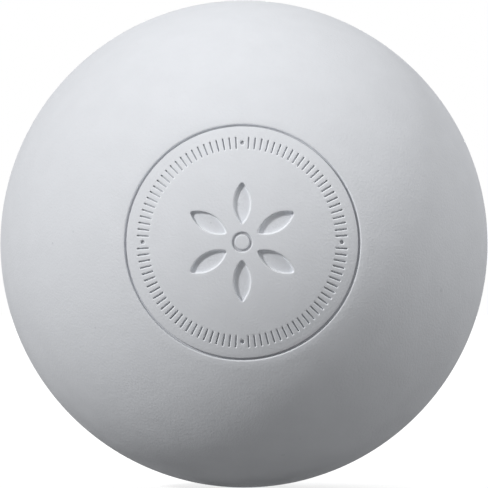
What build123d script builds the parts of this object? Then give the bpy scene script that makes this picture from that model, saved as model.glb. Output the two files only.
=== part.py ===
from build123d import *
import os
from math import hypot, sqrt

# Lacrosse ball: a solid rubber core inside a rubber cover that is moulded on in two halves.
# The origin is the ball's centre, +Z is up and the moulded medallion faces -Y.
# All sizes are in millimetres.

# Ball and cover
ball_diameter = 63.5
cover_thickness = 4.0
parting_lip_radius = 0.08

# Ring groove round the medallion
ring_diameter = 29.5
ring_width = 0.28
ring_depth = 0.5
ring_inner_lip_radius = 0.1
ring_outer_lip_radius = 0.16

# Band of short marks inside the ring, in four equal groups with a round dot between them
band_inset = 2.2
band_depth = 0.32
dot_count = 4
dot_diameter = 0.6
ticks_per_group = 24
tick_length = 1.5
tick_width = 0.3

# Rosette of petals round a small ring in the middle of the medallion
emblem_depth = 0.6
emblem_lip_radius = 0.12
emblem_floor_radius = 0.15
petal_count = 6
petal_length = 5.4
petal_width = 2.2
petal_tip_radius = 0.25
petal_clear_radius = 2.2
hub_ring_diameter = 2.2
hub_ring_width = 0.4
hub_ring_depth = 0.32
hub_lip_radius = 0.08

# Worked out from the sizes above
ball_radius = ball_diameter / 2
core_radius = ball_radius - cover_thickness
ring_radius = ring_diameter / 2
hub_radius = hub_ring_diameter / 2
band_radius = ring_radius - band_inset
mark_pitch = 360 / (dot_count * (ticks_per_group + 1))
petal_middle_radius = petal_clear_radius + petal_length / 2
upright = 90
same_radius = 0.01


def surface_depth(radius):
    """Distance from the ball's centre plane to its surface, at a radius from the medallion's axis."""
    return sqrt(ball_radius**2 - radius**2)


def at_radius(edges, radius):
    """The edges that lie at this distance from the ball's centre."""
    return edges.filter_by(lambda edge: abs((edge @ 0.5).length - radius) < same_radius)


def on_ball(vertex):
    """Whether a vertex of a section lies on the ball's surface."""
    return abs(hypot(vertex.X, vertex.Y) - ball_radius) < same_radius


# Core: the solid rubber centre, which fills the cover
with BuildPart() as rubber_core:
    Sphere(core_radius)

# Section of half the cover: a thick cup that ends at the mould's parting plane, Y = 0
with BuildSketch(Plane.XY) as cup_section:
    with BuildLine():
        outside = CenterArc((0, 0), ball_radius, -upright, upright)
        inside = CenterArc((0, 0), core_radius, -upright, upright)
        Line(outside @ 0, inside @ 0)
        Line(outside @ 1, inside @ 1)
    make_face()
    fillet(cup_section.vertices().sort_by(Axis.X)[-1], parting_lip_radius)

# The same section with the medallion's two ring grooves, which have rounded lips
# The grooves run along Y, the way the mould draws off
with BuildSketch(Plane.XY) as grooved_section:
    add(cup_section.sketch)
    with Locations((ring_radius, -surface_depth(ring_radius))):
        SlotOverall(2 * ring_depth, ring_width, rotation=upright, mode=Mode.SUBTRACT)
    with Locations((hub_radius, -surface_depth(hub_radius))):
        SlotOverall(2 * hub_ring_depth, hub_ring_width, rotation=upright, mode=Mode.SUBTRACT)
    on_surface = grooved_section.vertices().filter_by(on_ball).sort_by(Axis.X)
    pole, hub_inner, hub_outer, ring_inner, ring_outer, parting = on_surface
    fillet((hub_inner, hub_outer), hub_lip_radius)
    fillet(ring_inner, ring_inner_lip_radius)
    fillet(ring_outer, ring_outer_lip_radius)

# One petal outline: two equal arcs that meet in rounded tips, lying along local X
with BuildSketch() as petal:
    with BuildLine():
        petal_side = SagittaArc((-petal_length / 2, 0), (petal_length / 2, 0), petal_width / 2)
        mirror(petal_side, about=Plane.XZ)
    make_face()
    fillet(petal.vertices(), petal_tip_radius)

# Cutter for the petals, which stops at one depth below the round surface
with BuildPart() as petal_cutter:
    with BuildSketch(Plane.XZ.offset(ball_radius)):
        with PolarLocations(petal_middle_radius, petal_count, start_angle=upright):
            add(petal.sketch)
    extrude(amount=-ball_radius)
    Sphere(ball_radius - emblem_depth, mode=Mode.SUBTRACT)

# Cutter for the band of marks: groups of ticks along radii, with a dot between the groups
with BuildPart() as band_cutter:
    with BuildSketch(Plane.XZ.offset(ball_radius)):
        with PolarLocations(band_radius, dot_count, start_angle=upright):
            Circle(dot_diameter / 2)
        for group in range(dot_count):
            first_tick = upright + group * 360 / dot_count + mark_pitch
            group_angle = mark_pitch * ticks_per_group
            with PolarLocations(band_radius, ticks_per_group, first_tick, group_angle):
                SlotOverall(tick_length, tick_width)
    extrude(amount=-ball_radius)
    Sphere(ball_radius - band_depth, mode=Mode.SUBTRACT)

# Front cover: the half that carries the medallion
with BuildPart() as front_cover:
    add(grooved_section.sketch)
    revolve(axis=Axis.Y)
    add(petal_cutter.part, mode=Mode.SUBTRACT)
    petal_edges = front_cover.edges(Select.LAST)
    fillet(at_radius(petal_edges, ball_radius), emblem_lip_radius)
    fillet(at_radius(front_cover.edges(), ball_radius - emblem_depth), emblem_floor_radius)
    add(band_cutter.part, mode=Mode.SUBTRACT)

# Rear cover: the plain half, bonded to the front one at the parting plane
with BuildPart() as rear_cover:
    with BuildSketch(Plane.XY):
        mirror(cup_section.sketch, about=Plane.XZ)
    revolve(axis=Axis.Y)

rubber_core.part.label = "rubber_core"
front_cover.part.label = "front_cover"
rear_cover.part.label = "rear_cover"

os.makedirs("parts", exist_ok=True)
export_step(rubber_core.part, "parts/rubber_core.step")
export_step(front_cover.part, "parts/front_cover.step")
export_step(rear_cover.part, "parts/rear_cover.step")
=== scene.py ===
"""Dresses a moulded rubber lacrosse ball and stages it for its picture."""

import math

import bmesh
import bpy
from bpy.props import FloatProperty, FloatVectorProperty, IntProperty, PointerProperty
from bpy.types import Operator, Panel, PropertyGroup
from mathutils import Matrix, Vector


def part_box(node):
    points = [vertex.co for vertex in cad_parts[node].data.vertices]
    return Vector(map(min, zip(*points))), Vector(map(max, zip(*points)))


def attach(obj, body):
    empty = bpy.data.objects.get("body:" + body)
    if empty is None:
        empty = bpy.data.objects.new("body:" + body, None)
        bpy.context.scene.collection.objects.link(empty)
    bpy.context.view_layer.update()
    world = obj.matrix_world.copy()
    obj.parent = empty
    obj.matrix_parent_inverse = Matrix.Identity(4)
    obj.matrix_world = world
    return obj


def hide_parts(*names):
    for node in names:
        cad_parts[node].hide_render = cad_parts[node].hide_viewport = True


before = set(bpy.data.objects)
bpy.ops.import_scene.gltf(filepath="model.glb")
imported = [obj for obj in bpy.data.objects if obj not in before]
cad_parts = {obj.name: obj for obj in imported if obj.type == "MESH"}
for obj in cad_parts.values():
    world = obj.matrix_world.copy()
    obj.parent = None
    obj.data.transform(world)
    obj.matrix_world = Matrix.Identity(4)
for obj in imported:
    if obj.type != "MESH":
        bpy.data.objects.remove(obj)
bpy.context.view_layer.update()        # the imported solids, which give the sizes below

bl_info = {
    "name": "Lacrosse Ball",
    "version": (1, 0, 0),
    "blender": (4, 5, 0),
    "location": "View3D > Sidebar > Ball",
    "description": "Models the cover of a moulded rubber lacrosse ball, finishes it and stages it",
    "category": "Add Mesh",
}

# What the frame gives, in metres
BALL_RADIUS = -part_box("front_cover")[0].y
CORE_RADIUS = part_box("rubber_core")[1].y

# Units, in metres and radians
MM = 0.001
FULL_TURN = 2 * math.pi
UPRIGHT = math.pi / 2

# How finely the mesh follows its curves
SECTORS = 20
BAND_STEPS = 200
ROSETTE_STEPS = 240
PETAL_SIDE_STEPS = 48
PETAL_TIP_STEPS = 22
TICK_END_STEPS = 8
TICK_SIDE_STEPS = 4
LIP_STEPS = 4
PETAL_WALL_STEPS = 4
MARK_WALL_STEPS = 3
PLAIN_RINGS = 6
FLOOR_RINGS = 3
INSIDE_COARSENESS = 2
HUB_FACE = 0.25 * MM

# Half the edges round a petal or a mark, and round the cell that it is pressed into
HALF_PETAL_STEPS = PETAL_SIDE_STEPS + PETAL_TIP_STEPS
HALF_TICK_STEPS = TICK_SIDE_STEPS + TICK_END_STEPS

# Plain room between a recess and the edge of its cell
CELL_MARGIN = 0.25 * MM
PETAL_END_MARGIN = 0.4 * MM

# How near vertices are one, and to how many decimals of a millimetre rims are told apart
MERGE_DISTANCE = 1e-7
RIM_DECIMALS = 2

# Texture of the rubber, as shares and as noise details
CLOUD_DETAIL = 4.0
CLOUD_SPAN = (0.35, 0.65)
SPECK_RARITY = 0.9
GRAIN_DETAIL = 3.0
LUMP_DETAIL = 2.0
LUMP_SIZE_IN_GRAINS = 6.0
LUMP_SHARE = 0.8
ROUGHNESS_SPREAD = 0.06
BUFFED_SMOOTHING = 0.12
BUFFED_GRAIN = 0.3

# Where the painted highlight on the lips and the painted shade in the recesses lie, as shares of a recess's
# depth
LIP_START = (0.0, 0.02)
LIP_END = (0.15, 0.4)
SHADE_SPAN = (0.4, 1.0)

# Names that more than one function uses
RECESS_ATTRIBUTE = "recess"
SKIN_GROUP = "Rubber skin"
WHITE_RUBBER = "white_rubber"


def length(name, description, default):
    """A size property in metres."""
    return FloatProperty(
        name=name, description=description, default=default, min=0.0, precision=6, unit="LENGTH"
    )


def count(name, description, default):
    """A property that counts things."""
    return IntProperty(name=name, description=description, default=default, min=1)


def share(name, description, default):
    """A property from nothing to all."""
    return FloatProperty(
        name=name, description=description, default=default, min=0.0, max=1.0, subtype="FACTOR"
    )


def colour(name, description, default):
    """A linear colour property."""
    return FloatVectorProperty(
        name=name, description=description, default=default, size=3, min=0.0, max=1.0, subtype="COLOR"
    )


def angle(name, description, degrees):
    """An angle property, written in degrees."""
    return FloatProperty(
        name=name, description=description, default=math.radians(degrees), subtype="ANGLE"
    )


class CoverSettings(PropertyGroup):
    """Sizes of the cover's two halves."""

    radius: length("Ball radius", "Outside radius of the ball", BALL_RADIUS)
    core_radius: length("Core radius", "Radius of the core, which the cover is moulded on", CORE_RADIUS)
    parting_lip: length("Parting lip", "Radius of the rounded lip at the mould's parting line", 0.08 * MM)
    side_face: length("Side face", "Size of the mesh faces on the plain sides", 1.1 * MM)


class MedallionSettings(PropertyGroup):
    """Sizes of the moulded medallion: a ring, a band of marks and a rosette."""

    ring_diameter: length("Ring diameter", "Diameter of the ring groove's middle line", 29.5 * MM)
    ring_width: length("Ring width", "Width of the ring groove between its walls", 0.28 * MM)
    ring_depth: length("Ring depth", "Depth of the ring groove", 0.5 * MM)
    ring_inner_lip: length("Ring inner lip", "Radius of the ring groove's inner lip", 0.1 * MM)
    ring_outer_lip: length("Ring outer lip", "Radius of the ring groove's outer lip", 0.16 * MM)
    band_inset: length("Band inset", "From the ring to the middle of the band of marks", 2.2 * MM)
    dot_count: count("Dots", "Dots in the band, with a group of ticks after each", 4)
    dot_diameter: length("Dot diameter", "Diameter of a dot", 0.5 * MM)
    ticks_per_group: count("Ticks per group", "Ticks between two dots", 24)
    tick_length: length("Tick length", "Length of a tick along the radius", 1.5 * MM)
    tick_width: length("Tick width", "Width of a tick between its walls", 0.17 * MM)
    mark_depth: length("Mark depth", "Depth of the ticks and dots", 0.32 * MM)
    mark_lip: length("Mark lip", "Radius of the marks' rounded lips", 0.13 * MM)
    mark_foot: length("Mark foot", "Radius of the marks' rounded feet", 0.08 * MM)
    petal_count: count("Petals", "Petals in the rosette", 6)
    petal_length: length("Petal length", "Length of a petal between its sharp corners", 5.4 * MM)
    petal_width: length("Petal width", "Width of a petal at its middle", 2.2 * MM)
    petal_tip: length("Petal tip", "Radius of a petal's rounded tips", 0.25 * MM)
    petal_clear: length("Petal clearance", "From the medallion's axis to the petals' corners", 2.2 * MM)
    petal_depth: length("Petal depth", "Depth of the petals' floor", 0.6 * MM)
    petal_lip: length("Petal lip", "Radius of the petals' rounded lips", 0.12 * MM)
    petal_foot: length("Petal foot", "Radius of the petals' rounded feet", 0.15 * MM)
    hub_diameter: length("Hub diameter", "Diameter of the small ring in the rosette's middle", 2.2 * MM)
    hub_width: length("Hub width", "Width of the small ring's groove", 0.4 * MM)
    hub_depth: length("Hub depth", "Depth of the small ring's groove", 0.32 * MM)
    hub_lip: length("Hub lip", "Radius of the small ring's rounded lips", 0.08 * MM)


class FinishSettings(PropertyGroup):
    """Colours and grain of the rubber."""

    cover_colour: colour("Cover colour", "White of the moulded cover", (0.782, 0.80, 0.836))
    mottle_colour: colour("Mottle colour", "Duller white of the cover's cloudy patches", (0.767, 0.785, 0.82))
    speck_colour: colour("Speck colour", "Dust and filler specks in the cover's skin", (0.67, 0.69, 0.725))
    # Painted highlight: a lighter white on the lips of the recesses, which stands in for the lamps' light
    # there.
    lip_highlight_colour: colour("Lip highlight colour", "Painted lighter white of the recesses' rubbed lips", (0.88, 0.90, 0.93))
    # Painted shade: a darker grey in narrow recesses and on the petals' walls, which stands in for their
    # shade.
    shade_colour: colour("Shade colour", "Painted grey of the dust in narrow recesses", (0.56, 0.57, 0.60))
    core_colour: colour("Core colour", "Grey of the dense core", (0.15, 0.15, 0.155))
    crumb_colour: colour("Crumb colour", "Darker crumbs in the core", (0.07, 0.07, 0.072))
    cover_roughness: share("Cover roughness", "Mean roughness of the matte skin", 0.8)
    cover_gloss: share("Cover gloss", "Strength of the skin's reflections, where 0.5 is usual", 0.25)
    core_roughness: share("Core roughness", "Mean roughness of the core", 0.85)
    grain_height: length("Grain height", "Height of the skin's fine grain", 0.04 * MM)
    buffed_width: length("Buffed width", "Width of the buffed band along the parting line", 2.4 * MM)
    crumb_height: length("Crumb height", "Height of the core's crumbs", 0.05 * MM)


class StudioSettings(PropertyGroup):
    """Camera, lamps and floor."""

    camera_distance: length("Camera distance", "From the ball's centre to the camera", 0.9)
    camera_azimuth: angle("Camera azimuth", "Turn of the camera to the right of the medallion's axis", 0.44)
    camera_elevation: angle("Camera elevation", "Turn of the camera above the medallion's axis", -0.44)
    frame_fill: share("Frame fill", "Share of the picture's width that the ball fills", 0.9983)
    lamp_distance: length("Lamp distance", "From the ball's centre to each lamp", 1.0)
    key_azimuth: angle("Key azimuth", "Turn of the key lamp to the right of the medallion's axis", -47.9)
    key_elevation: angle("Key elevation", "Turn of the key lamp above the medallion's axis", 28.5)
    key_width: angle("Key width", "How wide the key lamp looks from the ball", 8.0)
    key_brightness: share("Key brightness", "Light of the key lamp on a surface that faces it", 0.636)
    fill_azimuth: angle("Fill azimuth", "Turn of the fill lamp to the right of the medallion's axis", 73.0)
    fill_elevation: angle("Fill elevation", "Turn of the fill lamp above the medallion's axis", 46.0)
    fill_width: angle("Fill width", "How wide the fill lamp looks from the ball", 52.0)
    fill_brightness: share("Fill brightness", "Light of the fill lamp on a surface that faces it", 0.369)
    back_azimuth: angle("Back azimuth", "Turn of the back lamp to the right of the medallion's axis", 180.0)
    back_elevation: angle("Back elevation", "Turn of the back lamp above the medallion's axis", 3.0)
    back_width: angle("Back width", "How wide the back lamp looks from the ball", 6.0)
    back_brightness: share("Back brightness", "Light of the back lamp on a surface that faces it", 0.3)
    ambient: share("Ambient light", "Brightness of the room round the ball", 0.303)
    floor_size: length("Floor size", "Half the width of the floor", 8.0)
    floor_bounce: share("Floor bounce", "Share of light that the floor throws back on the ball", 0.13)
    floor_light: share("Floor light", "Even light that the floor, a lit table, sends up to the ball", 0.113)
    floor_tone: share("Floor tone", "Share of light that the floor shows in the picture", 0.5)
    floor_glow: share("Floor glow", "How far the floor is lifted towards white in the picture", 0.74)


# Drawing with a pen vertex, in the XY plane of a bmesh

def arc_from(bm, vert, centre, turn, steps):
    """Sweeps a vertex about a line through the centre, along Z, and returns the arc's last vertex."""
    swept = bmesh.ops.spin(bm, geom=[vert], cent=centre, axis=(0, 0, 1), angle=turn, steps=steps)
    return swept["geom_last"][0]


def line_from(bm, vert, step, pieces=1):
    """Draws a straight run of edges from a vertex and returns its far end."""
    for _ in range(pieces):
        drawn = bmesh.ops.extrude_vert_indiv(bm, verts=[vert])["verts"]
        bmesh.ops.translate(bm, verts=drawn, vec=step / pieces)
        vert = drawn[0]
    return vert


def polar(distance, direction):
    """A place in the XY plane, by its distance and direction from the origin."""
    return Vector((distance * math.cos(direction), distance * math.sin(direction), 0.0))


def drawn_loop(bm, draw, *where):
    """Runs a drawing function, joins its last vertex to its first and returns the loop's edges."""
    old_edges = set(bm.edges)
    first, last = draw(bm, *where)
    bmesh.ops.weld_verts(bm, targetmap={last: first})
    return [edge for edge in bm.edges if edge not in old_edges]


def draw_cell(bm, low, high, turn, arc_steps, side_steps):
    """Draws the outline of a cell: a sector between two distances from the medallion's axis."""
    first = bm.verts.new(polar(low, -turn / 2))
    vert = arc_from(bm, first, (0, 0, 0), turn, arc_steps)
    vert = line_from(bm, vert, polar(high - low, turn / 2), side_steps)
    vert = arc_from(bm, vert, (0, 0, 0), -turn, arc_steps)
    return first, line_from(bm, vert, polar(low - high, -turn / 2), side_steps)


def draw_petal(bm, sizes, offset, height):
    """Draws a petal's outline, set off outwards: two long arcs that meet in rounded tips."""
    half_length = sizes.petal_length / 2
    half_width = sizes.petal_width / 2
    side_radius = (half_length**2 + half_width**2) / (2 * half_width)
    side_centre = Vector((0, side_radius - half_width, 0))
    tip_reach = math.sqrt((side_radius - sizes.petal_tip)**2 - side_centre.y**2)
    half_turn = math.asin(tip_reach / (side_radius - sizes.petal_tip))
    tip_centre = Vector((tip_reach, 0, 0))
    tip_turn = math.pi - 2 * half_turn
    middle = Vector((sizes.petal_clear + half_length, 0, height))
    first = bm.verts.new(middle + tip_centre + polar(sizes.petal_tip + offset, UPRIGHT - half_turn))
    vert = arc_from(bm, first, middle - side_centre, 2 * half_turn, PETAL_SIDE_STEPS)
    vert = arc_from(bm, vert, middle - tip_centre, tip_turn, PETAL_TIP_STEPS)
    vert = arc_from(bm, vert, middle + side_centre, 2 * half_turn, PETAL_SIDE_STEPS)
    return first, arc_from(bm, vert, middle + tip_centre, tip_turn, PETAL_TIP_STEPS)


def band_radius(sizes):
    """From the medallion's axis to the middle of the band of marks."""
    return sizes.ring_diameter / 2 - sizes.band_inset


def draw_tick(bm, sizes, offset, height):
    """Draws a tick's outline, set off outwards: two straight sides with round ends."""
    end_radius = sizes.tick_width / 2
    reach = Vector((sizes.tick_length / 2 - end_radius, 0, 0))
    middle = Vector((band_radius(sizes), 0, height))
    first = bm.verts.new(middle + reach + polar(end_radius + offset, -UPRIGHT))
    vert = arc_from(bm, first, middle + reach, math.pi, TICK_END_STEPS)
    vert = line_from(bm, vert, -2 * reach, TICK_SIDE_STEPS)
    vert = arc_from(bm, vert, middle - reach, math.pi, TICK_END_STEPS)
    return first, line_from(bm, vert, 2 * reach, TICK_SIDE_STEPS)


def draw_dot(bm, sizes, offset, height):
    """Draws a dot's outline, set off outwards."""
    middle = Vector((band_radius(sizes), 0, height))
    first = bm.verts.new(middle + polar(sizes.dot_diameter / 2 + offset, 0.0))
    return first, arc_from(bm, first, middle, FULL_TURN, 2 * HALF_TICK_STEPS)


# Modelling

def pressed_wall(depth, lip, foot, steps):
    """Offsets and heights down a pressed wall: a rounded lip, a steep side and a rounded foot."""
    turns = [UPRIGHT * step / steps for step in range(steps + 1)]
    down_lip = [(lip * (1 - math.sin(turn)), lip * (math.cos(turn) - 1)) for turn in turns]
    down_foot = [(foot * (math.cos(turn) - 1), foot * (1 - math.sin(turn)) - depth) for turn in turns]
    return down_lip + down_foot


def pressed_cell(cell, draw, sizes, wall, cuts, floor_rings):
    """Makes a flat cell with a shape pressed into it, as a bmesh of its own."""
    bm = bmesh.new()
    rim = drawn_loop(bm, draw_cell, *cell)
    loops = [drawn_loop(bm, draw, sizes, offset, height) for offset, height in wall]
    face_edges = bmesh.ops.bridge_loops(bm, edges=rim + loops[0])["edges"]
    bmesh.ops.subdivide_edges(bm, edges=face_edges, cuts=cuts, use_grid_fill=True)
    for upper, lower in zip(loops, loops[1:]):
        bmesh.ops.bridge_loops(bm, edges=upper + lower)
    floor = loops[-1]
    for ring in range(floor_rings, 0, -1):
        grown = bmesh.ops.extrude_edge_only(bm, edges=floor)["geom"]
        floor = [item for item in grown if isinstance(item, bmesh.types.BMEdge)]
        verts = [item for item in grown if isinstance(item, bmesh.types.BMVert)]
        bmesh.ops.scale(bm, verts=verts, vec=(1, (ring - 1) / ring, 1))
    bmesh.ops.remove_doubles(bm, verts=bm.verts[:], dist=MERGE_DISTANCE)
    return bm


def repeat(bm, turn, copies):
    """Repeats everything in a flat bmesh round the medallion's axis."""
    geom = bm.verts[:] + bm.edges[:] + bm.faces[:]
    steps = copies - 1
    bmesh.ops.spin(
        bm, geom=geom, cent=(0, 0, 0), axis=(0, 0, 1), angle=turn * steps, steps=steps, use_duplicate=True
    )
    bmesh.ops.remove_doubles(bm, verts=bm.verts[:], dist=MERGE_DISTANCE)


def turn_flat(bm, turn):
    """Turns everything in a flat bmesh about the medallion's axis."""
    bmesh.ops.rotate(bm, verts=bm.verts[:], cent=(0, 0, 0), matrix=Matrix.Rotation(turn, 3, "Z"))


def take_in(bm, other):
    """Moves everything in another bmesh into this one."""
    mesh = bpy.data.meshes.new("part")
    other.to_mesh(mesh)
    other.free()
    bm.from_mesh(mesh)
    bpy.data.meshes.remove(mesh)


def rosette(sizes, low, high):
    """The rosette's petals in their cells, flat, with the first petal upright."""
    turn = FULL_TURN / sizes.petal_count
    arc_steps = ROSETTE_STEPS // sizes.petal_count
    cell = (low, high, turn, arc_steps, HALF_PETAL_STEPS - arc_steps)
    wall = pressed_wall(sizes.petal_depth, sizes.petal_lip, sizes.petal_foot, PETAL_WALL_STEPS)
    bm = pressed_cell(cell, draw_petal, sizes, wall, PLAIN_RINGS, FLOOR_RINGS)
    repeat(bm, turn, sizes.petal_count)
    turn_flat(bm, UPRIGHT)
    return bm


def mark_band(sizes, low, high):
    """The band of marks in their cells, flat: groups of ticks, each after a dot."""
    marks_per_group = sizes.ticks_per_group + 1
    turn = FULL_TURN / (sizes.dot_count * marks_per_group)
    arc_steps = BAND_STEPS // (sizes.dot_count * marks_per_group)
    cell = (low, high, turn, arc_steps, HALF_TICK_STEPS - arc_steps)
    wall = pressed_wall(sizes.mark_depth, sizes.mark_lip, sizes.mark_foot, MARK_WALL_STEPS)
    bm = pressed_cell(cell, draw_tick, sizes, wall, cuts=1, floor_rings=1)
    repeat(bm, turn, sizes.ticks_per_group)
    turn_flat(bm, turn)
    take_in(bm, pressed_cell(cell, draw_dot, sizes, wall, cuts=1, floor_rings=FLOOR_RINGS))
    repeat(bm, turn * marks_per_group, sizes.dot_count)
    return bm


def wrap_on_ball(bm, radius):
    """Wraps a flat bmesh on the ball's front, keeping how it looks along the medallion's axis."""
    for vert in bm.verts:
        x, up, height = vert.co
        vert.co = (x, -math.sqrt((radius + height)**2 - x**2 - up**2), up)


def revolve(profile, bm, steps):
    """Spins a profile a full turn about the medallion's axis and adds the result to a bmesh."""
    sector = FULL_TURN / SECTORS
    turned = {"cent": (0, 0, 0), "axis": (0, 1, 0)}
    geom = profile.verts[:] + profile.edges[:]
    bmesh.ops.spin(profile, geom=geom, angle=sector, steps=steps // SECTORS, **turned)
    geom = profile.verts[:] + profile.edges[:] + profile.faces[:]
    rest = FULL_TURN - sector
    bmesh.ops.spin(profile, geom=geom, angle=rest, steps=SECTORS - 1, use_duplicate=True, **turned)
    bmesh.ops.remove_doubles(profile, verts=profile.verts[:], dist=MERGE_DISTANCE)
    take_in(bm, profile)


def ball_arc(bm, vert, radius, high, face_size):
    """Follows the ball's surface from a vertex out to a distance from the medallion's axis."""
    turn = math.asin(high / radius) - math.asin(vert.co.x / radius)
    return arc_from(bm, vert, (0, 0, 0), turn, math.ceil(radius * turn / face_size))


def groove_arc(bm, vert, radius, middle, width, depth, lips, face_size):
    """Follows the ball's surface to a groove, then down its inner wall, round its floor and up again.

    The walls run along the medallion's axis, the way the mould draws off.
    """
    inner_lip, outer_lip = lips
    floor_y = depth - width / 2 - math.sqrt(radius**2 - middle**2)
    inner_x = middle - width / 2 - inner_lip
    inner_lean = math.asin(inner_x / (radius - inner_lip))
    outer_x = middle + width / 2 + outer_lip
    outer_lean = math.asin(outer_x / (radius - outer_lip))
    outer_y = -(radius - outer_lip) * math.cos(outer_lean)
    vert = ball_arc(bm, vert, radius, radius * math.sin(inner_lean), face_size)
    inner_centre = polar(radius - inner_lip, inner_lean - UPRIGHT)
    vert = arc_from(bm, vert, inner_centre, UPRIGHT - inner_lean, LIP_STEPS)
    vert = line_from(bm, vert, Vector((0, floor_y - vert.co.y, 0)))
    vert = arc_from(bm, vert, (middle, floor_y, 0), -math.pi, 2 * LIP_STEPS)
    vert = line_from(bm, vert, Vector((0, outer_y - floor_y, 0)))
    return arc_from(bm, vert, (outer_x, outer_y, 0), UPRIGHT + outer_lean, LIP_STEPS)


def add_hub(bm, cover, sizes, high):
    """Adds the middle of the rosette, with its small ring groove."""
    profile = bmesh.new()
    vert = profile.verts.new((0, -cover.radius, 0))
    groove = (sizes.hub_diameter / 2, sizes.hub_width, sizes.hub_depth, (sizes.hub_lip, sizes.hub_lip))
    vert = groove_arc(profile, vert, cover.radius, *groove, HUB_FACE)
    ball_arc(profile, vert, cover.radius, high, HUB_FACE)
    revolve(profile, bm, ROSETTE_STEPS)


def add_half_shell(bm, cover, low=0.0, groove=None):
    """Adds half of the cover beyond a distance from its axis: side, rounded lip, parting face and inside."""
    lip_middle = cover.radius - cover.parting_lip
    lip_turn = math.asin(cover.parting_lip / lip_middle)
    lip_centre = polar(lip_middle, -lip_turn)
    inner_rings = math.ceil(cover.core_radius * UPRIGHT / cover.side_face / INSIDE_COARSENESS)
    profile = bmesh.new()
    vert = profile.verts.new((low, -math.sqrt(cover.radius**2 - low**2), 0))
    if groove:
        vert = groove_arc(profile, vert, cover.radius, *groove, cover.side_face)
    vert = ball_arc(profile, vert, cover.radius, cover.radius * math.cos(lip_turn), cover.side_face)
    vert = arc_from(profile, vert, lip_centre, UPRIGHT + lip_turn, LIP_STEPS)
    vert = line_from(profile, vert, Vector((cover.core_radius - vert.co.x, 0, 0)))
    arc_from(profile, vert, (0, 0, 0), -UPRIGHT, inner_rings)
    revolve(profile, bm, BAND_STEPS)


def rims_by_distance(bm):
    """The open rims of a flat bmesh, sorted by their distance from the medallion's axis."""
    rims = {}
    for edge in bm.edges:
        if edge.is_boundary:
            distance = edge.verts[0].co.xy.length
            rims.setdefault(round(distance / MM, RIM_DECIMALS), []).append(edge)
    return [rims[distance] for distance in sorted(rims)]


def add_medallion(bm, cover, sizes):
    """Adds the front of the ball inside the ring groove and returns how far from the axis it reaches."""
    band = band_radius(sizes)
    half_band = sizes.tick_length / 2 + CELL_MARGIN
    hub_rim = sizes.petal_clear - CELL_MARGIN
    rosette_rim = sizes.petal_clear + sizes.petal_length + PETAL_END_MARGIN
    flat = rosette(sizes, hub_rim, rosette_rim)
    take_in(flat, mark_band(sizes, band - half_band, band + half_band))
    _, petals_out, marks_in, _ = rims_by_distance(flat)
    face_edges = bmesh.ops.bridge_loops(flat, edges=petals_out + marks_in)["edges"]
    bmesh.ops.subdivide_edges(flat, edges=face_edges, cuts=PLAIN_RINGS, use_grid_fill=True)
    wrap_on_ball(flat, cover.radius)
    take_in(bm, flat)
    add_hub(bm, cover, sizes, hub_rim)
    return band + half_band


def note_recesses(bm, cover, sizes):
    """Notes on each vertex how deep it lies in a recess, from 0 on the ball's surface to 1, for the painted
    light.

    The finish paints a highlight on the lips and paints shade deeper down. Narrow grooves and marks are
    shaded down to their floors. The petals are wide, so only their walls are shaded.
    The inside of the cover, which lies deeper than any recess, gets none.
    """
    recess = bm.verts.layers.float.new(RECESS_ATTRIBUTE)
    half_cover = (cover.radius - cover.core_radius) / 2
    depths = (
        (sizes.petal_clear, sizes.hub_depth),
        (sizes.petal_clear + sizes.petal_length, sizes.petal_depth),
        (sizes.ring_diameter / 2 - sizes.ring_width, sizes.mark_depth),
        (sizes.ring_diameter / 2 + sizes.ring_width, sizes.ring_depth),
    )
    bm.normal_update()
    for vert in bm.verts:
        from_axis = vert.co.xz.length
        full_depth = next((depth for reach, depth in depths if from_axis < reach), 0.0)
        below = cover.radius - vert.co.length
        if full_depth and below < half_cover:
            wide = full_depth == sizes.petal_depth
            steepness = 1 - abs(vert.normal.dot(vert.co.normalized()))
            vert[recess] = below / full_depth * (steepness if wide else 1.0)


def finish_piece(bm, name, node, material):
    """Turns a bmesh into a cover piece that rides with the ball and stands for a node of the frame."""
    bmesh.ops.recalc_face_normals(bm, faces=bm.faces[:])
    for face in bm.faces:
        face.smooth = True
    mesh = bpy.data.meshes.new(name)
    bm.to_mesh(mesh)
    bm.free()
    mesh.materials.append(material)
    piece = bpy.data.objects.new(name, mesh)
    bpy.context.scene.collection.objects.link(piece)
    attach(piece, "root")
    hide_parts(node)


# Finishes

def add_node(tree, kind, **settings):
    """Adds a shader node with its settings."""
    node = tree.nodes.new(kind)
    for name, value in settings.items():
        setattr(node, name, value)
    return node


def noise(tree, place, scale, detail):
    """A noise texture whose place and scale come from sockets."""
    node = add_node(tree, "ShaderNodeTexNoise")
    tree.links.new(place, node.inputs["Vector"])
    tree.links.new(scale, node.inputs["Scale"])
    node.inputs["Detail"].default_value = detail
    return node.outputs["Fac"]


def remap(tree, value, span, new_span=(0.0, 1.0)):
    """Maps a value from one span to another, clamped at the ends."""
    node = add_node(tree, "ShaderNodeMapRange")
    tree.links.new(value, node.inputs["Value"])
    for name, number in zip(("From Min", "From Max", "To Min", "To Max"), (*span, *new_span)):
        node.inputs[name].default_value = number
    return node.outputs["Result"]


def combine(tree, operation, first, second):
    """Combines two values, either of which may be a plain number."""
    node = add_node(tree, "ShaderNodeMath", operation=operation)
    for socket, value in zip(node.inputs, (first, second)):
        if isinstance(value, (int, float)):
            socket.default_value = value
        else:
            tree.links.new(value, socket)
    return node.outputs["Value"]


def plain_colour(tree, value):
    """A colour as a socket."""
    socket = add_node(tree, "ShaderNodeRGB").outputs["Color"]
    socket.default_value = (*value, 1.0)
    return socket


def blend_colours(tree, factor, first, second):
    """Blends two colour sockets by a factor."""
    node = add_node(tree, "ShaderNodeMix", data_type="RGBA")
    tree.links.new(factor, node.inputs["Factor"])
    tree.links.new(first, node.inputs["A"])
    tree.links.new(second, node.inputs["B"])
    return node.outputs["Result"]


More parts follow.
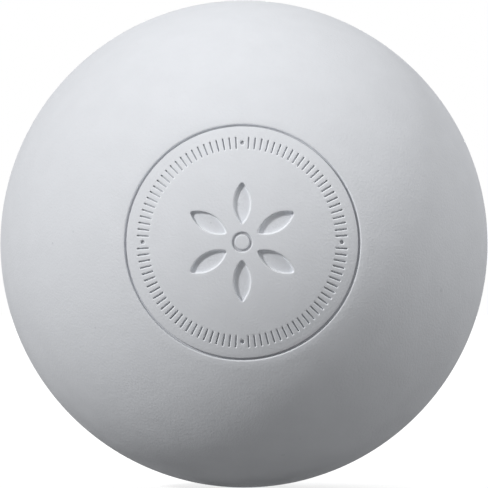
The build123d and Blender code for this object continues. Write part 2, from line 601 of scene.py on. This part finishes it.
def rubber_skin_group():
    """Builds the shared skin of moulded rubber: cloudy colour, specks, uneven gloss and fine grain."""
    group = bpy.data.node_groups.new(SKIN_GROUP, "ShaderNodeTree")
    for name, kind in (
        ("Colour", "NodeSocketColor"),
        ("Cloud Colour", "NodeSocketColor"),
        ("Speck Colour", "NodeSocketColor"),
        ("Cloud Scale", "NodeSocketFloat"),
        ("Speck Scale", "NodeSocketFloat"),
        ("Speck Size", "NodeSocketFloat"),
        ("Grain Scale", "NodeSocketFloat"),
    ):
        group.interface.new_socket(name, in_out="INPUT", socket_type=kind)
    for name, kind in (
        ("Colour", "NodeSocketColor"),
        ("Cloud", "NodeSocketFloat"),
        ("Grain", "NodeSocketFloat"),
    ):
        group.interface.new_socket(name, in_out="OUTPUT", socket_type=kind)
    given = add_node(group, "NodeGroupInput").outputs
    result = add_node(group, "NodeGroupOutput").inputs
    place = add_node(group, "ShaderNodeTexCoord").outputs["Object"]

    cloud = remap(group, noise(group, place, given["Cloud Scale"], CLOUD_DETAIL), CLOUD_SPAN)
    clouded = blend_colours(group, cloud, given["Colour"], given["Cloud Colour"])

    cells = add_node(group, "ShaderNodeTexVoronoi")
    group.links.new(place, cells.inputs["Vector"])
    group.links.new(given["Speck Scale"], cells.inputs["Scale"])
    cell_lot = add_node(group, "ShaderNodeSeparateColor")
    group.links.new(cells.outputs["Color"], cell_lot.inputs["Color"])
    reach = combine(group, "MULTIPLY", given["Speck Size"], cell_lot.outputs["Red"])
    chosen = combine(group, "GREATER_THAN", cell_lot.outputs["Green"], SPECK_RARITY)
    inside = combine(group, "LESS_THAN", cells.outputs["Distance"], reach)
    spot = combine(group, "MULTIPLY", chosen, inside)
    speck = combine(group, "MULTIPLY", spot, cell_lot.outputs["Blue"])
    specked = blend_colours(group, speck, clouded, given["Speck Colour"])

    fine = noise(group, place, given["Grain Scale"], GRAIN_DETAIL)
    lump_scale = combine(group, "DIVIDE", given["Grain Scale"], LUMP_SIZE_IN_GRAINS)
    lumps = noise(group, place, lump_scale, LUMP_DETAIL)
    grain = combine(group, "ADD", fine, combine(group, "MULTIPLY", lumps, LUMP_SHARE))

    group.links.new(specked, result["Colour"])
    group.links.new(cloud, result["Cloud"])
    group.links.new(grain, result["Grain"])
    return group


def place_skin(tree, colours, scales):
    """Places the shared skin in a material, with its own colours and scales, and returns its outputs."""
    group = bpy.data.node_groups.get(SKIN_GROUP) or rubber_skin_group()
    node = add_node(tree, "ShaderNodeGroup", node_tree=group)
    for name, value in zip(("Colour", "Cloud Colour", "Speck Colour"), colours):
        node.inputs[name].default_value = (*value, 1.0)
    for name, value in scales.items():
        node.inputs[name].default_value = value
    return node.outputs


def new_material(name):
    """A node material with its shader wired to the surface."""
    material = bpy.data.materials.new(name)
    material.use_nodes = True
    return material, material.node_tree, material.node_tree.nodes["Principled BSDF"]


def wire_bump(tree, shader, height, distance):
    """Wires a height to the shader's normal, as a bump of a real height in metres."""
    bump = add_node(tree, "ShaderNodeBump")
    bump.inputs["Strength"].default_value = 1.0
    bump.inputs["Distance"].default_value = distance
    tree.links.new(height, bump.inputs["Height"])
    tree.links.new(bump.outputs["Normal"], shader.inputs["Normal"])


def near_parting(tree, half_width):
    """A mask of the band along the parting plane, where the mould's flash was buffed off."""
    place = add_node(tree, "ShaderNodeSeparateXYZ")
    tree.links.new(add_node(tree, "ShaderNodeTexCoord").outputs["Object"], place.inputs["Vector"])
    off_plane = combine(tree, "ABSOLUTE", place.outputs["Y"], 0.0)
    return remap(tree, off_plane, (half_width / 2, half_width), (1.0, 0.0))


def white_rubber(finish):
    """Matte white moulded rubber: painted highlights on the recesses' lips, painted shade in the recesses, a
    buffed parting line.
    """
    material, tree, shader = new_material(WHITE_RUBBER)
    colours = (finish.cover_colour, finish.mottle_colour, finish.speck_colour)
    scales = {"Cloud Scale": 260.0, "Speck Scale": 390.0, "Speck Size": 0.12, "Grain Scale": 3400.0}
    skin = place_skin(tree, colours, scales)
    recess = add_node(tree, "ShaderNodeAttribute", attribute_name=RECESS_ATTRIBUTE).outputs["Fac"]
    # Painted highlight: the lips of every recess are lightened.
    past_start = remap(tree, recess, LIP_START)
    before_end = remap(tree, recess, LIP_END, (1.0, 0.0))
    on_lip = combine(tree, "MINIMUM", past_start, before_end)
    highlighted = blend_colours(tree, on_lip, skin["Colour"], plain_colour(tree, finish.lip_highlight_colour))
    # Painted shade: the recesses are darkened, the narrow ones down to their floors and the petals on their
    # walls.
    shade = remap(tree, recess, SHADE_SPAN)
    shaded = blend_colours(tree, shade, highlighted, plain_colour(tree, finish.shade_colour))
    tree.links.new(shaded, shader.inputs["Base Color"])

    buffed = near_parting(tree, finish.buffed_width / 2)
    smoothest = finish.cover_roughness - ROUGHNESS_SPREAD
    roughest = finish.cover_roughness + ROUGHNESS_SPREAD
    moulded = remap(tree, skin["Cloud"], (0.0, 1.0), (smoothest, roughest))
    smoothed = combine(tree, "MULTIPLY", buffed, BUFFED_SMOOTHING)
    tree.links.new(combine(tree, "SUBTRACT", moulded, smoothed), shader.inputs["Roughness"])
    shader.inputs["Specular IOR Level"].default_value = finish.cover_gloss

    grain_left = remap(tree, buffed, (0.0, 1.0), (1.0, BUFFED_GRAIN))
    wire_bump(tree, shader, combine(tree, "MULTIPLY", skin["Grain"], grain_left), finish.grain_height)
    return material


def crumb_rubber(finish):
    """Dense grey crumb rubber of the core."""
    material, tree, shader = new_material("crumb_rubber")
    colours = (finish.core_colour, finish.crumb_colour, finish.speck_colour)
    scales = {"Cloud Scale": 900.0, "Speck Scale": 300.0, "Speck Size": 0.3, "Grain Scale": 1500.0}
    skin = place_skin(tree, colours, scales)
    tree.links.new(skin["Colour"], shader.inputs["Base Color"])
    shader.inputs["Roughness"].default_value = finish.core_roughness
    wire_bump(tree, shader, skin["Grain"], finish.crumb_height)
    return material


def cover_material(finish):
    """The cover's one material, which both halves share."""
    return bpy.data.materials.get(WHITE_RUBBER) or white_rubber(finish)


# Stage

def wire_stage(tree, lighting, shown, output):
    """Wires up two shaders of the stage: one lights the ball, the other shows in the picture.

    The second one is for the rays that see the stage itself: from the camera, by gloss or through glass.
    """
    path = add_node(tree, "ShaderNodeLightPath").outputs
    seen = combine(tree, "MAXIMUM", path["Is Camera Ray"], path["Is Glossy Ray"])
    seen = combine(tree, "MAXIMUM", seen, path["Is Transmission Ray"])
    choice = add_node(tree, "ShaderNodeMixShader")
    for value, socket in zip((seen, lighting, shown), choice.inputs):
        tree.links.new(value, socket)
    tree.links.new(choice.outputs["Shader"], add_node(tree, output).inputs["Surface"])


def lit_surface(tree, tone, glow):
    """A plain surface that throws back a share of its light and glows by itself."""
    plain = add_node(tree, "ShaderNodeBsdfDiffuse")
    plain.inputs["Color"].default_value = (tone, tone, tone, 1.0)
    light = add_node(tree, "ShaderNodeEmission")
    light.inputs["Strength"].default_value = glow
    both = add_node(tree, "ShaderNodeAddShader")
    tree.links.new(plain.outputs["BSDF"], both.inputs[0])
    tree.links.new(light.outputs["Emission"], both.inputs[1])
    return both.outputs["Shader"]


def pale_floor(studio):
    """A lit table, which shows as white with the ball's soft shadow and sends less light than it shows."""
    material = bpy.data.materials.new("pale_floor")
    material.use_nodes = True
    tree = material.node_tree
    tree.nodes.clear()
    lighting = lit_surface(tree, studio.floor_bounce, studio.floor_light)
    shown = lit_surface(tree, studio.floor_tone, studio.floor_glow)
    wire_stage(tree, lighting, shown, "ShaderNodeOutputMaterial")
    return material


def add_floor(studio, radius):
    """Lays a wide floor under the ball."""
    bm = bmesh.new()
    bmesh.ops.create_grid(bm, x_segments=1, y_segments=1, size=studio.floor_size)
    bmesh.ops.translate(bm, verts=bm.verts[:], vec=(0, 0, -radius))
    mesh = bpy.data.meshes.new("floor")
    bm.to_mesh(mesh)
    bm.free()
    mesh.materials.append(pale_floor(studio))
    floor = bpy.data.objects.new("floor", mesh)
    bpy.context.scene.collection.objects.link(floor)


def white_background(tree, strength):
    """A white background of some strength, where 1 shows as white."""
    node = add_node(tree, "ShaderNodeBackground")
    node.inputs["Color"].default_value = (1.0, 1.0, 1.0, 1.0)
    node.inputs["Strength"].default_value = strength
    return node.outputs["Background"]


def light_room(studio):
    """A dim even room, which shows as white."""
    world = bpy.data.worlds.new("room")
    world.use_nodes = True
    tree = world.node_tree
    tree.nodes.clear()
    dim = white_background(tree, studio.ambient)
    wire_stage(tree, dim, white_background(tree, 1.0), "ShaderNodeOutputWorld")
    bpy.context.scene.world = world


def direction_to(azimuth, elevation):
    """Unit vector from the ball: azimuth to the right of the medallion's axis, elevation above it."""
    level = math.cos(elevation)
    return Vector((math.sin(azimuth) * level, -math.cos(azimuth) * level, math.sin(elevation)))


def aim(thing, direction, distance):
    """Stands a camera or lamp off the ball's centre and turns it to face the ball."""
    thing.location = direction * distance
    thing.rotation_euler = (-direction).to_track_quat("-Z", "Y").to_euler()
    bpy.context.scene.collection.objects.link(thing)


def add_lamp(studio, name):
    """Adds a round soft lamp. A brightness of 1 lights a facing surface to its own colour."""
    azimuth, elevation, width, brightness = (
        getattr(studio, f"{name}_{setting}") for setting in ("azimuth", "elevation", "width", "brightness")
    )
    data = bpy.data.lights.new(f"{name}_lamp", "SUN")
    data.angle = width
    data.energy = brightness * math.pi
    lamp = bpy.data.objects.new(f"{name}_lamp", data)
    aim(lamp, direction_to(azimuth, elevation), studio.lamp_distance)


def add_camera(studio, radius):
    """Stands the camera so that the ball's outline fills the frame."""
    data = bpy.data.cameras.new("camera")
    tangent_length = math.sqrt(studio.camera_distance**2 - radius**2)
    data.lens = studio.frame_fill * data.sensor_width / 2 * tangent_length / radius
    camera = bpy.data.objects.new("camera", data)
    aim(camera, direction_to(studio.camera_azimuth, studio.camera_elevation), studio.camera_distance)
    bpy.context.scene.camera = camera


# Operators

class BALL_OT_front_cover(Operator):
    """Models the half of the cover that carries the medallion"""

    bl_idname = "ball.front_cover"
    bl_label = "Front Cover"

    def execute(self, context):
        scene = context.scene
        cover = scene.ball_cover
        sizes = scene.ball_medallion
        bm = bmesh.new()
        rim = add_medallion(bm, cover, sizes)
        lips = (sizes.ring_inner_lip, sizes.ring_outer_lip)
        groove = (sizes.ring_diameter / 2, sizes.ring_width, sizes.ring_depth, lips)
        add_half_shell(bm, cover, rim, groove)
        bmesh.ops.remove_doubles(bm, verts=bm.verts[:], dist=MERGE_DISTANCE)
        note_recesses(bm, cover, sizes)
        finish_piece(bm, "moulded_front_cover", "front_cover", cover_material(scene.ball_finish))
        return {"FINISHED"}


class BALL_OT_rear_cover(Operator):
    """Models the plain half of the cover"""

    bl_idname = "ball.rear_cover"
    bl_label = "Rear Cover"

    def execute(self, context):
        scene = context.scene
        bm = bmesh.new()
        add_half_shell(bm, scene.ball_cover)
        bmesh.ops.scale(bm, verts=bm.verts[:], vec=(1, -1, 1))
        finish_piece(bm, "moulded_rear_cover", "rear_cover", cover_material(scene.ball_finish))
        return {"FINISHED"}


class BALL_OT_rubber_core(Operator):
    """Gives the core its crumb rubber finish"""

    bl_idname = "ball.rubber_core"
    bl_label = "Rubber Core"

    def execute(self, context):
        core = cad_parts["rubber_core"]
        core.data.materials.clear()
        core.data.materials.append(crumb_rubber(context.scene.ball_finish))
        return {"FINISHED"}


class BALL_OT_stage(Operator):
    """Adds the floor, room, lamps and camera"""

    bl_idname = "ball.stage"
    bl_label = "Stage"

    def execute(self, context):
        scene = context.scene
        studio = scene.ball_studio
        radius = scene.ball_cover.radius
        add_floor(studio, radius)
        light_room(studio)
        for lamp in ("key", "fill", "back"):
            add_lamp(studio, lamp)
        add_camera(studio, radius)
        scene.view_settings.view_transform = "Standard"
        return {"FINISHED"}


class BALL_PT_panel(Panel):
    """Lists the ball's operators and their settings in the sidebar"""

    bl_idname = "BALL_PT_panel"
    bl_label = "Lacrosse Ball"
    bl_space_type = "VIEW_3D"
    bl_region_type = "UI"
    bl_category = "Ball"

    def draw(self, context):
        for operator in OPERATORS:
            self.layout.operator(operator.bl_idname)
        for name, settings in SETTINGS.items():
            box = self.layout.box()
            for setting in settings.__annotations__:
                box.prop(getattr(context.scene, name), setting)


SETTINGS = {
    "ball_cover": CoverSettings,
    "ball_medallion": MedallionSettings,
    "ball_finish": FinishSettings,
    "ball_studio": StudioSettings,
}
OPERATORS = (BALL_OT_front_cover, BALL_OT_rear_cover, BALL_OT_rubber_core, BALL_OT_stage)
CLASSES = (*SETTINGS.values(), *OPERATORS, BALL_PT_panel)


def register():
    """Registers the classes and hangs the settings on the scene."""
    for cls in CLASSES:
        bpy.utils.register_class(cls)
    for name, settings in SETTINGS.items():
        setattr(bpy.types.Scene, name, PointerProperty(type=settings))


def unregister():
    """Takes the settings off the scene and drops the classes."""
    for name in SETTINGS:
        delattr(bpy.types.Scene, name)
    for cls in reversed(CLASSES):
        bpy.utils.unregister_class(cls)


def main():
    """Builds the ball and its stage."""
    register()
    bpy.ops.ball.front_cover()
    bpy.ops.ball.rear_cover()
    bpy.ops.ball.rubber_core()
    bpy.ops.ball.stage()


if __name__ == "__main__":
    main()
